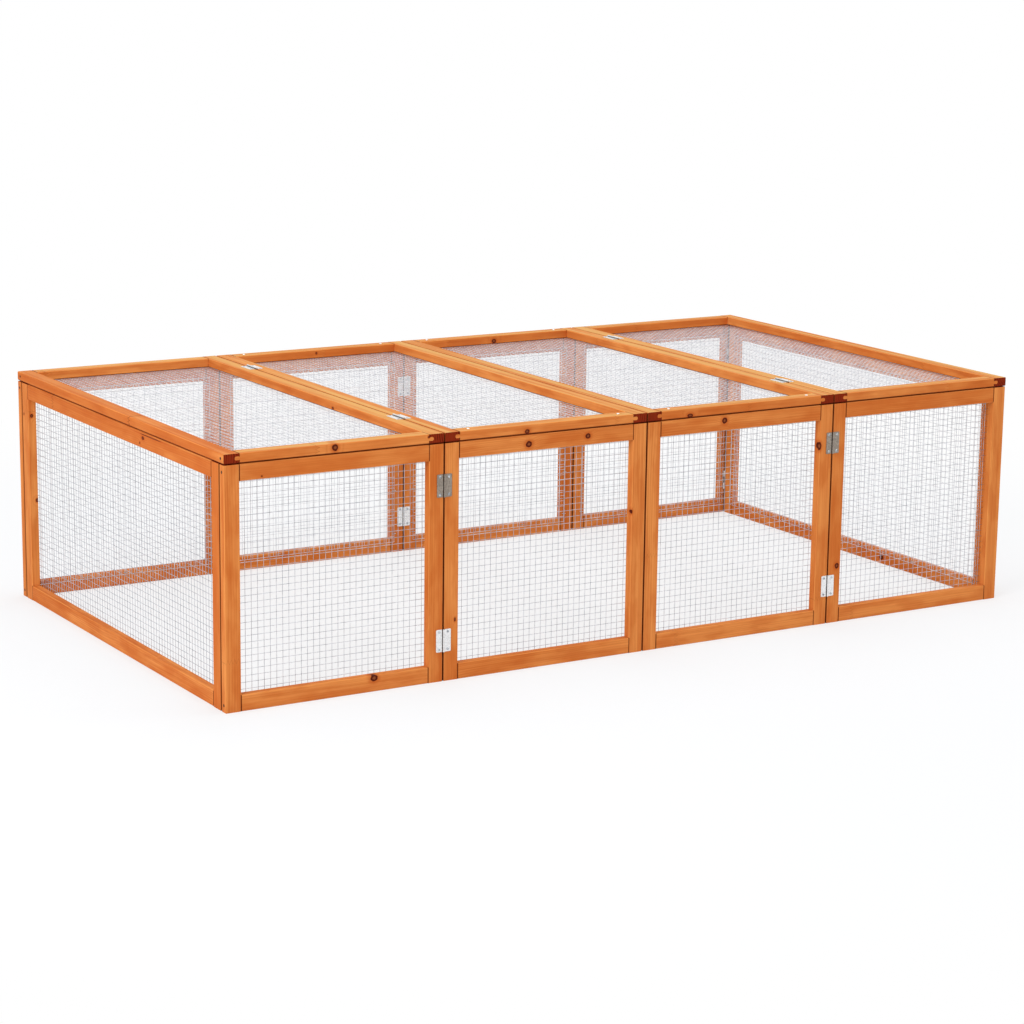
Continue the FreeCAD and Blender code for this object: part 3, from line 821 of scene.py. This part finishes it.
for panel in panels.values():
    name = panel.name
    grid = bmesh.new()
    copy_in(grid, wire_mesh(panel), panel.place)
    # the front and left walls get the copy painted darker, the others the copy painted lighter
    wire = painted_shade_wire if name.startswith(("front", "left")) else painted_light_wire
    make_piece(f"{name}_wire_mesh", grid, wire, name, [f"{name}_mesh"])

    kind, ends_and_faces = leaves[name]
    plates, screws = bmesh.new(), bmesh.new()
    rng = random.Random(f"{name} screws")
    for end, face in ends_and_faces:
        for place in leaf_places(panel, end, face):
            copy_in(plates, leaf_meshes[kind], place)
            for side in (-1, 1):
                seat = Vector((LEAF_SCREW_REACH, KNUCKLE_RADIUS - LEAF_THICKNESS,
                               side * (HINGE_LENGTH / 2 - LEAF_SCREW_INSET)))
                copy_in(screws, leaf_screw, place @ Matrix.Translation(seat) @ OFF_THE_LEAF @ half_turn(rng))
    # the front hinges carry the painted dark reflection on their upper leaves
    plate = painted_dark_reflection_plate if name.startswith("front") else zinc_plate
    make_piece(f"{name}_butt_leaves", plates, plate, name, [f"{name}_hinge_leaves"])
    make_piece(f"{name}_leaf_screws", screws, screw_steel, name)

    make_piece(f"{name}_staples", staples(panel, staple), staple_steel, name)
    make_piece(f"{name}_nails", nails(panel, nail), painted_shade_nail_steel, name)

for name in ("roof_2", "roof_3"):
    panel = panels[name]
    rng = random.Random(f"{name} screws")
    screws = bmesh.new()
    for u in (ROOF_SCREW_INSET, panel.width - ROOF_SCREW_INSET):
        for v in (STICK_WIDTH / 2, panel.height - STICK_WIDTH / 2):
            copy_in(screws, roof_screw, panel.place @ Matrix.Translation((u, v, 0)) @ half_turn(rng))
    make_piece(f"{name}_roof_screws", screws, zinc_plate, name, [f"{name}_screws"])


# Studio: a pale floor, a pale world and three soft lamps

FLOOR_REACH = 60
SHADOW_WHOLE, SHADOW_GONE = 1.1, 2.4  # metres from the middle of the run
SHADOW_SHARE = 0.38  # of the floor's whiteness that gives way to the run's shadow
AMBIENT = 0.62  # the world's light on the run, where the camera sees 1


def watched(tree):
    """1 on the rays that the camera or a reflection sees, and 0 on those that light the run."""
    seen = node(tree, "LightPath").outputs
    return greatest(tree, seen["Is Camera Ray"], seen["Is Glossy Ray"], seen["Is Transmission Ray"])


def pale_floor():
    """White to the camera and in reflections: wholly so further off, and under the run's own shadow near it."""
    material, tree = new_material("studio_floor")
    away = vector_math(tree, "LENGTH", node(tree, "TexCoord").outputs["Object"], output="Value")
    shadow = math(tree, "MULTIPLY", fade(tree, away, SHADOW_WHOLE, SHADOW_GONE), SHADOW_SHARE)
    whiteness = math(tree, "SUBTRACT", 1.0, shadow)
    lit = node(tree, "BsdfDiffuse", {"Color": (0.85, 0.87, 0.90, 1)})
    glow = node(tree, "Emission", {"Color": (1, 1, 1, 1), "Strength": 1.0})
    mixed = node(tree, "MixShader", {0: math(tree, "MULTIPLY", watched(tree), whiteness), 1: lit.outputs[0],
                                     2: glow.outputs[0]})
    node(tree, "OutputMaterial", {"Surface": mixed.outputs[0]})
    return material


bm = bmesh.new()
bmesh.ops.create_grid(bm, x_segments=1, y_segments=1, size=FLOOR_REACH)
floor_mesh = to_mesh(bm, "studio_floor")
floor_mesh.materials.append(pale_floor())
studio_floor = add_object("studio_floor", floor_mesh)

world = bpy.data.worlds.new("studio")
world.use_nodes = True
bpy.context.scene.world = world
tree = world.node_tree
tree.nodes.clear()
strength = math(tree, "MULTIPLY_ADD", watched(tree), 1 - AMBIENT, AMBIENT)
light = node(tree, "Background", {"Color": (1, 1, 1, 1), "Strength": strength})
node(tree, "OutputWorld", {"Surface": light.outputs[0]})


def softbox(name, place, aim, size, watts):
    lamp = bpy.data.lights.new(name, "AREA")
    lamp.shape = "SQUARE"
    lamp.size = size
    lamp.energy = watts
    stand = add_object(name, lamp)
    stand.location = place
    stand.rotation_euler = (Vector(aim) - Vector(place)).to_track_quat("-Z", "Y").to_euler()


softbox("key_softbox", (-4.8, -2.2, 3.4), (0, 0, 0.2), 3.0, 166)
softbox("top_softbox", (0.4, 0.6, 4.4), (0, 0, 0), 3.6, 65)
softbox("fill_softbox", (4.6, -2.0, 2.4), (0, 0, 0.2), 3.0, 46)

# Camera, fitted to the corners of the run in the photograph
CAMERA_TURN, CAMERA_TILT, CAMERA_ROLL = radians(-31.154), radians(12.453), radians(0.732)
CAMERA_PLACE = Vector((-2.9794, -4.9228, 1.4551))
SENSOR = 36
FOCAL_LENGTH, PHOTO_WIDTH = 2781.97, 1024  # in the photograph's pixels

back = Vector((sin(CAMERA_TURN) * cos(CAMERA_TILT), -cos(CAMERA_TURN) * cos(CAMERA_TILT), sin(CAMERA_TILT)))
level = Vector((cos(CAMERA_TURN), sin(CAMERA_TURN), 0))
upright = back.cross(level)
rolled_right = cos(CAMERA_ROLL) * level + sin(CAMERA_ROLL) * upright
rolled_up = cos(CAMERA_ROLL) * upright - sin(CAMERA_ROLL) * level
lens = bpy.data.cameras.new("camera")
lens.sensor_fit = "HORIZONTAL"
lens.sensor_width = SENSOR
lens.lens = SENSOR * FOCAL_LENGTH / PHOTO_WIDTH
lens.clip_end = 400
camera = add_object("camera", lens)
aim = Matrix((rolled_right, rolled_up, back)).transposed().to_4x4()
camera.matrix_world = Matrix.Translation(CAMERA_PLACE) @ aim
bpy.context.scene.camera = camera
bpy.context.scene.view_settings.view_transform = "Standard"
